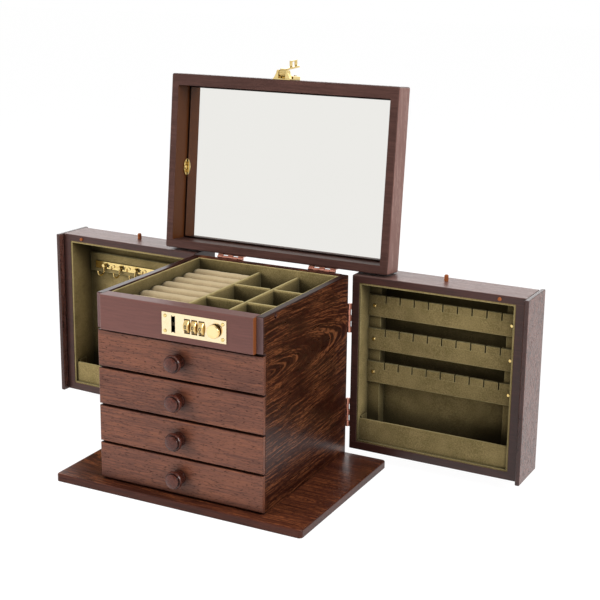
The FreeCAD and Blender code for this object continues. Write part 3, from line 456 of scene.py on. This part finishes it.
DARK_DEEP = srgb(34, 11, 6)
DARK_BODY = srgb(50, 20, 11)
RED_LINE = srgb(140, 84, 52)
SATIN_DEEP = srgb(50, 27, 22)
SATIN_BODY = srgb(66, 37, 31)
# Pink of the painted sheen on faces of the wings and the lid.
PINK_LINE = srgb(196, 168, 160)
PINK_PAINTED_SHEEN = srgb(128, 90, 80)
# Reach, low and high of the painted shade round the knobs.
PAINTED_KNOB_SHADE = (14.0, 0.40, 0.95)

case_low, case_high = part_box("case_side_right")
HEART_SHARE = 0.72
SIDE_HEART = (case_low[1] / MM, HEART_SHARE * case_high[2] / MM, case_high[0] / MM)
BASE_HEART = (-30.0, -40.0, 25.0)
TOP_HEART = (0.0, 60.0, 300.0)
LID_SKIN = 6.0
LID_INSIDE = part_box("lid_frame")[1][0] / MM - LID_SKIN

front_figure = streaks(srgb(150, 90, 58), 0.3, (60.0, 1.6))
# Its paler edges are partly wear and partly painted highlight, and it is painted darker round the knobs, as
# shade.
front_wood = wood(
    "front_wood", "X", srgb(84, 46, 33), srgb(118, 70, 50), [front_figure], pores=0.95, gloss=0.42,
    worn=srgb(176, 108, 64), shade=PAINTED_KNOB_SHADE,
)
panel_wood = wood(
    "panel_wood", "X", srgb(98, 62, 56), srgb(108, 69, 62), pores=0.15, rough=0.42, gloss=0.35,
    cut=srgb(120, 64, 26),
)
side_figure = streaks(RED_LINE, 0.6, (50.0, 1.2), "X", heart=SIDE_HEART, slant=0.16)
side_wood = wood(
    "side_wood", "Y", DARK_DEEP, DARK_BODY, [side_figure], pores=0.1, rough=0.3, worn=srgb(110, 66, 40),
    cut=srgb(108, 82, 80),
)
base_figure = streaks(srgb(140, 80, 48), 0.8, (40.0, 1.3), "Z", heart=BASE_HEART, slant=0.14)
base_wood = wood("base_wood", "X", srgb(54, 25, 17), srgb(76, 38, 26), [base_figure], rough=0.3)
wing_figure = streaks(PINK_LINE, 0.25, (20.0, 1.0), "Z")
# Its top faces along Z get a painted pale pink sheen.
wing_wood = wood(
    "wing_wood", "X", SATIN_DEEP, SATIN_BODY, [wing_figure], pores=0.25, gloss=0.45, worn=srgb(120, 78, 66),
    pale=("Z", PINK_PAINTED_SHEEN, 0.5),
)
end_figure = streaks(srgb(34, 16, 12), 0.9, (14.0, 1.6), "X")
# Its faces along X get a painted sheen.
end_wood = wood(
    "end_wood", "Z", SATIN_DEEP, SATIN_BODY, [end_figure], pores=0.9, rough=0.26, gloss=0.5,
    pale=("X", srgb(126, 82, 70), 0.6), relief=1.0,
)
lid_figure = streaks(PINK_LINE, 0.35, (40.0, 1.1), "X", beyond=LID_INSIDE, grain="Z")
# Its outer faces along X get a painted pale pink sheen.
lid_wood = wood(
    "lid_wood", "X", srgb(66, 44, 39), srgb(82, 56, 50), [lid_figure], pores=0.1, gloss=0.12,
    pale=("X", PINK_PAINTED_SHEEN, 0.8), raw=(srgb(84, 46, 20), LID_INSIDE),
)
top_figure = streaks(RED_LINE, 0.5, (60.0, 1.8), heart=TOP_HEART, slant=0.1)
top_wood = wood("top_wood", "X", DARK_DEEP, srgb(80, 38, 25), [top_figure])
# Painted darker near the drawer front, as shade.
knob_wood = wood(
    "knob_wood", "Y", srgb(60, 27, 20), srgb(88, 44, 32), pores=0.0, rough=0.2, gloss=0.4, shade=PAINTED_KNOB_SHADE,
)
peg_wood = wood("peg_wood", "Z", srgb(128, 68, 34), srgb(160, 92, 52), pores=0.3, rough=0.45)
box_wood = wood("box_wood", "Y", srgb(110, 72, 52), srgb(140, 96, 70), pores=0.4, rough=0.6)
gap_wood = wood("gap_wood", "Y", srgb(20, 10, 7), srgb(30, 15, 10), rough=0.7, gloss=0.1)
# The colour given for edges and tops is painted sheen and painted light from above.
olive = velvet(
    "olive_velvet", srgb(114, 100, 63), srgb(160, 141, 96), sheen_edge_colour=srgb(192, 178, 128),
    sheen=srgb(214, 200, 150), reach=42.0,
)
tan = velvet(
    "ring_velvet", srgb(150, 130, 97), srgb(184, 163, 127), sheen_edge_colour=srgb(200, 181, 145),
    sheen=srgb(236, 222, 192), reach=9.0,
)
brass = metal("brass", srgb(232, 206, 140), srgb(200, 162, 88), 0.14, srgb(46, 28, 6))
plate_brass = metal("plate_brass", srgb(250, 229, 190), srgb(246, 222, 178), 0.2, srgb(150, 100, 34))
button_brass = metal("button_brass", srgb(252, 226, 170), srgb(246, 214, 150), 0.1, srgb(96, 58, 14))
dial_brass = metal("dial_brass", srgb(232, 200, 136), srgb(190, 148, 84), 0.25, srgb(24, 16, 6))
copper = metal("copper", srgb(204, 142, 122), srgb(160, 98, 80), 0.3, srgb(50, 22, 16))
steel = metal("steel", srgb(120, 116, 110), srgb(84, 80, 76), 0.35, srgb(30, 28, 26))
# Painted dark steel, which stands for the shade inside the lock.
lock_steel = metal("lock_steel", srgb(60, 50, 38), srgb(40, 32, 24), 0.45, srgb(10, 8, 6))
glass = mirror_glass()
black = ink()


def dress(material, *names):
    """Gives nodes of the frame their material."""
    for name in names:
        slots = NODES[name].data.materials
        slots.clear()
        slots.append(material)


dress(base_wood, "base_board")
dress(side_wood, "case_side_left", "case_side_right")
dress(panel_wood, "top_front_panel")
dress(gap_wood, "case_shelves")
dress(olive, "tray_lining", "tray_dividers", "left_wing_lining", "right_wing_lining", "hook_rail")
dress(olive, "bar_battens", "earring_bars")
dress(tan, "ring_rolls")
dress(plate_brass, "lock_plate")
dress(dial_brass, "dial_1", "dial_2", "dial_3")
dress(button_brass, "lock_button")
dress(brass, "lock_screws", "hook_strip", "bar_screws", "mirror_clips", "hasp_base", "hasp_arm", "hasp_pin")
dress(lock_steel, "lock_case", "lock_bolt")
dress(steel, "dial_axle", "hinge_pins")
dress(copper, "case_hinge_leaves", "lid_hinge_leaves", "left_wing_hinge_leaves", "right_wing_hinge_leaves")
dress(wing_wood, "left_wing_frame", "right_wing_frame")
dress(end_wood, "left_wing_end_panel", "right_wing_end_panel")
dress(peg_wood, "left_wing_pegs", "right_wing_pegs")
dress(lid_wood, "lid_frame")
dress(top_wood, "lid_panel", "case_back")
dress(glass, "mirror")
for number in range(1, 5):
    dress(front_wood, f"drawer_{number}_front")
    dress(box_wood, f"drawer_{number}_box")
    dress(olive, f"drawer_{number}_lining")
    dress(knob_wood, f"drawer_{number}_knob")


# Mesh helpers


def new_piece(name, build, material, body):
    """A mesh object, filled by a function that gets an empty bmesh, that rides on a body."""
    cloth = bmesh.new()
    build(cloth)
    bmesh.ops.recalc_face_normals(cloth, faces=cloth.faces)
    mesh = bpy.data.meshes.new(name)
    cloth.to_mesh(mesh)
    cloth.free()
    mesh.materials.append(material)
    piece = bpy.data.objects.new(name, mesh)
    bpy.context.scene.collection.objects.link(piece)
    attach(piece, body)
    return piece


def middle_and_half(node):
    """Middle and half size of a node's box."""
    low, high = (Vector(corner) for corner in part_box(node))
    return (low + high) / 2, (high - low) / 2


# Numerals on the dials

DIGIT_SIZE = 5.2 * MM
DIGIT_BOLD = 0.2 * MM
DIGIT_LIFT = 0.05 * MM
DIGIT_STEPS = 10


def digit_outline(text):
    """Flat triangles of one numeral, centred on the origin."""
    curve = bpy.data.curves.new("digit", "FONT")
    curve.body = text
    curve.size = DIGIT_SIZE
    curve.offset = DIGIT_BOLD
    curve.align_x = "CENTER"
    curve.align_y = "CENTER"
    holder = bpy.data.objects.new("digit", curve)
    mesh = bpy.data.meshes.new_from_object(holder)
    corners = [vertex.co.copy() for vertex in mesh.vertices]
    faces = [tuple(face.vertices) for face in mesh.polygons]
    bpy.data.objects.remove(holder)
    bpy.data.curves.remove(curve)
    bpy.data.meshes.remove(mesh)
    return corners, faces


def dial_digits(dial):
    """All the numerals of one dial, wrapped round its rim."""
    middle, half = middle_and_half(dial)
    radius = half.z + DIGIT_LIFT

    def build(cloth):
        for step in range(DIGIT_STEPS):
            corners, faces = digit_outline(str(step))
            made = []
            for corner in corners:
                angle = step * 2 * math.pi / DIGIT_STEPS + corner.y / half.z
                rim = Vector((corner.x, -radius * math.cos(angle), radius * math.sin(angle)))
                made.append(cloth.verts.new(middle + rim))
            for face in faces:
                cloth.faces.new([made[index] for index in face])

    return build


for dial in ("dial_1", "dial_2", "dial_3"):
    new_piece(f"{dial}_digits", dial_digits(dial), black, dial)


# Ring rolls

ROLL_COUNT = 8
ROLL_GAP = 0.9 * MM
ROLL_RINGS = 40
ROLL_ARC = 18
ROLL_END = 6.0 * MM
END_PINCH = 2.6 * MM
END_DROP = 3.2 * MM
CROWN_DROP = 0.2 * MM
WAVES = ((0.10 * MM, 17, 2.1), (0.07 * MM, 37, 1.0))
WAVE_PINCH = 0.5


def roll_profile(half, low, top):
    """Outline across a roll: straight lower sides under a round crown."""
    points = [(-half, low)]
    for step in range(ROLL_ARC + 1):
        angle = math.pi - math.pi * step / ROLL_ARC
        points.append((half * math.cos(angle), top - half + half * math.sin(angle)))
    return points + [(half, low)]


def roll_wave(share, count):
    """How much fuller a roll is at a share of its length, which differs from roll to roll."""
    return sum(height * math.sin(share * rate + count * shift) for height, rate, shift in WAVES)


def ring_rolls(cloth):
    """Padded rolls with round ends, each a little different in fullness."""
    low, high = (Vector(corner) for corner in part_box("ring_rolls"))
    pitch = (high.y - low.y) / ROLL_COUNT
    for count in range(ROLL_COUNT):
        middle = low.y + (count + 0.5) * pitch
        rings = []
        for ring in range(ROLL_RINGS + 1):
            share = (1 - math.cos(math.pi * ring / ROLL_RINGS)) / 2
            x = low.x + share * (high.x - low.x)
            away = min(x - low.x, high.x - x, ROLL_END)
            drawn = 1 - math.sqrt(1 - (1 - away / ROLL_END) ** 2)
            wave = roll_wave(share, count)
            half = pitch / 2 - ROLL_GAP - END_PINCH * drawn + WAVE_PINCH * min(wave, 0)
            top = high.z - END_DROP * drawn - CROWN_DROP + wave
            outline = roll_profile(half, low.z, top)
            rings.append([cloth.verts.new((x, middle + y, z)) for y, z in outline])
        for first, second in zip(rings, rings[1:]):
            for index in range(len(first)):
                after = (index + 1) % len(first)
                cloth.faces.new((first[index], first[after], second[after], second[index]))
        cloth.faces.new(rings[0])
        cloth.faces.new(rings[-1])


rolls = new_piece("ring_roll_pads", ring_rolls, tan, "case")
for face in rolls.data.polygons:
    face.use_smooth = len(face.vertices) == 4
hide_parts("ring_rolls")


# Screws through the hinge leaves

HINGE_LEN = 31.5 * MM
LEAF_W = 14.0 * MM
LEAF_T = 1.0 * MM
LID_HINGES = (-50.5 * MM, 60.7 * MM)
WING_HINGES = (52.5 * MM, 157.0 * MM)
SCREW_R = 1.9 * MM
SCREW_H = 0.6 * MM
SCREW_RECESS = 0.35 * MM
SCREW_GRID = 12
CROSS_HALF = 0.2
CROSS_REACH = 0.6
SCREW_ALONG = 0.3 * HINGE_LEN
SCREW_ACROSS = 0.6 * LEAF_W


def screw_head(cloth, middle, turn):
    """A low dome with a cross recess on a face that looks along +Y, turned to its place at rest."""
    rows = []
    steps = [2 * step / SCREW_GRID - 1 for step in range(SCREW_GRID + 1)]
    for u in steps:
        row = []
        for v in steps:
            across = u * math.sqrt(1 - v * v / 2)
            along = v * math.sqrt(1 - u * u / 2)
            rise = SCREW_H * math.sqrt(max(0, 1 - across * across - along * along))
            if min(abs(u), abs(v)) < CROSS_HALF and max(abs(u), abs(v)) < CROSS_REACH:
                rise -= SCREW_RECESS
            point = middle + Vector((SCREW_R * across, rise, SCREW_R * along))
            row.append(cloth.verts.new(turn @ point))
        rows.append(row)
    for first, second in zip(rows, rows[1:]):
        for index in range(SCREW_GRID):
            cloth.faces.new((first[index], first[index + 1], second[index + 1], second[index]))
    rim = rows[0] + [row[-1] for row in rows[1:-1]] + rows[-1][::-1] + [row[0] for row in rows[-2:0:-1]]
    cloth.faces.new(rim)


def closed_to_rest(joint):
    """Takes places on a hinge's closed child to where they are at rest."""
    place = Vector(joint["pos_m"])
    turn = Matrix.Rotation(math.radians(-joint["range_deg"][0]), 4, Vector(joint["axis"]))
    return Matrix.Translation(place) @ turn @ Matrix.Translation(-place)


def leaf_screws(cloth, joint_name, side, turn):
    """Two screws in each leaf on one side of a hinge line, which is side 1 for the child's leaves."""
    place = Vector(JOINTS[joint_name]["pos_m"])
    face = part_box("case_back")[1][1] + LEAF_T
    for shift in (-SCREW_ALONG, SCREW_ALONG):
        if joint_name == "lid_hinge":
            for hinge in LID_HINGES:
                screw_head(cloth, Vector((hinge + shift, face, place.z + side * SCREW_ACROSS)), turn)
        else:
            out = math.copysign(SCREW_ACROSS, side * place.x)
            for hinge in WING_HINGES:
                screw_head(cloth, Vector((place.x + out, face, hinge + shift)), turn)


def child_screws(joint_name):
    """The screws of the leaves that move with a hinge's child."""
    turn = closed_to_rest(JOINTS[joint_name])
    return lambda cloth: leaf_screws(cloth, joint_name, 1, turn)


def case_screws(cloth):
    """The screws of all the leaves on the back of the case."""
    for joint_name in ("lid_hinge", "left_wing_hinge", "right_wing_hinge"):
        leaf_screws(cloth, joint_name, -1, Matrix.Identity(4))


new_piece("case_hinge_screws", case_screws, copper, "case")
for body in ("lid", "left_wing", "right_wing"):
    new_piece(f"{body}_hinge_screws", child_screws(f"{body}_hinge"), copper, body)


# Stage

FLOOR_SIZE = 8.0
FLOOR_GLOW = 1.13
FLOOR_SHADE = 0.15
FLOOR_DRIFT = 330.0
FLOOR_DROP = 0.5 * MM
DARK_SIDE = (0.2, -0.75, 0.63)
DARK_EDGE = (0.78, 0.90)
FILL = 0.26
LIGHT_AIM = (0, 0, 0.15)
PHOTO_SIZE = 600
PHOTO_FOCAL = 1297.07
PHOTO_CENTRE = (290.45, 266.57)
CAMERA_PLACE = (0.64223, -1.09511, 0.53516)
CAMERA_YAW, CAMERA_PITCH, CAMERA_ROLL = 27.47, 13.88, 0.54


def seen_directly(tree):
    """1 for rays from the camera and for those that metal or glass send on."""
    path = add(tree, "ShaderNodeLightPath")
    shiny = calc(tree, "MAXIMUM", path.outputs["Is Glossy Ray"], path.outputs["Is Transmission Ray"])
    return calc(tree, "MAXIMUM", path.outputs["Is Camera Ray"], shiny)


def floor_material():
    """White floor that takes a soft shadow and shows the rest as plain white."""
    material, tree, shader = new_material("floor")
    drift = noise(tree, place_mm(tree), FLOOR_DRIFT)["Fac"]
    pale = blend_colour(tree, drift, (0.90, 0.90, 0.90, 1), (0.92, 0.92, 0.92, 1))
    tree.links.new(pale, shader.inputs["Base Color"])
    set_values(shader, Roughness=1.0, Specular_IOR_Level=0.0)
    glow = add(tree, "ShaderNodeEmission", {"Color": (1, 1, 1, 1), "Strength": FLOOR_GLOW})
    share = times(tree, seen_directly(tree), 1 - FLOOR_SHADE)
    mix = add(tree, "ShaderNodeMixShader", {0: share, 1: shader.outputs[0], 2: glow.outputs[0]})
    tree.links.new(mix.outputs[0], tree.nodes["Material Output"].inputs["Surface"])
    return material


def make_floor():
    mesh = bpy.data.meshes.new("floor")
    cloth = bmesh.new()
    bmesh.ops.create_grid(cloth, x_segments=1, y_segments=1, size=FLOOR_SIZE)
    cloth.to_mesh(mesh)
    cloth.free()
    mesh.materials.append(floor_material())
    floor = bpy.data.objects.new("floor", mesh)
    bpy.context.scene.collection.objects.link(floor)
    floor.location.z = -FLOOR_DROP


def make_world():
    """White surroundings for the eye, a softer level for diffuse light, and a dark side for reflections."""
    world = bpy.data.worlds.new("studio")
    world.use_nodes = True
    bpy.context.scene.world = world
    tree = world.node_tree
    path = add(tree, "ShaderNodeLightPath")
    way = add(tree, "ShaderNodeTexCoord").outputs["Generated"]
    near = ramp(tree, alike(tree, way, Vector(DARK_SIDE).normalized()), *DARK_EDGE)
    near = times(tree, near, path.outputs["Is Glossy Ray"])
    colour = blend_colour(tree, seen_directly(tree), (FILL, FILL, FILL, 1), (1, 1, 1, 1))
    colour = blend_colour(tree, near, colour, (0.12, 0.11, 0.10, 1))
    tree.links.new(colour, tree.nodes["Background"].inputs["Color"])


def make_light(name, place, size, power, mirrored=True):
    """A rectangular lamp aimed at the box, which can be kept out of reflections."""
    lamp = bpy.data.lights.new(name, "AREA")
    lamp.shape = "RECTANGLE"
    lamp.size, lamp.size_y = size
    lamp.energy = power
    holder = bpy.data.objects.new(name, lamp)
    bpy.context.scene.collection.objects.link(holder)
    holder.location = place
    holder.visible_camera = False
    holder.visible_glossy = mirrored
    holder.rotation_euler = (Vector(LIGHT_AIM) - Vector(place)).to_track_quat("-Z", "Y").to_euler()


def make_camera():
    """Camera at the photograph's place, found by fitting the box's edges."""
    yaw, pitch, roll = (math.radians(value) for value in (CAMERA_YAW, CAMERA_PITCH, CAMERA_ROLL))
    ahead = Vector((-math.sin(yaw) * math.cos(pitch), math.cos(yaw) * math.cos(pitch), -math.sin(pitch)))
    level = Vector((math.cos(yaw), math.sin(yaw), 0))
    above = level.cross(ahead)
    right = level * math.cos(roll) + above * math.sin(roll)
    up = above * math.cos(roll) - level * math.sin(roll)
    data = bpy.data.cameras.new("camera")
    data.sensor_width = 36
    data.lens = PHOTO_FOCAL / PHOTO_SIZE * data.sensor_width
    data.shift_x = (PHOTO_SIZE / 2 - PHOTO_CENTRE[0]) / PHOTO_SIZE
    data.shift_y = (PHOTO_CENTRE[1] - PHOTO_SIZE / 2) / PHOTO_SIZE
    camera = bpy.data.objects.new("camera", data)
    turn = Matrix((right, up, -ahead)).transposed().to_4x4()
    camera.matrix_world = Matrix.Translation(CAMERA_PLACE) @ turn
    bpy.context.scene.collection.objects.link(camera)
    bpy.context.scene.camera = camera


make_floor()
make_world()
make_light("right", place=(1.4, -0.35, 0.9), size=(0.9, 0.9), power=18.0)
make_light("left", place=(-0.85, -0.8, 0.6), size=(0.6, 0.6), power=12.5, mirrored=False)
make_light("top", place=(0.1, 0.0, 1.5), size=(1.0, 1.0), power=5.0)
make_light("back", place=(-0.5, 1.7, 0.55), size=(2.4, 0.9), power=8.0)
make_camera()
bpy.context.scene.view_settings.view_transform = "Standard"
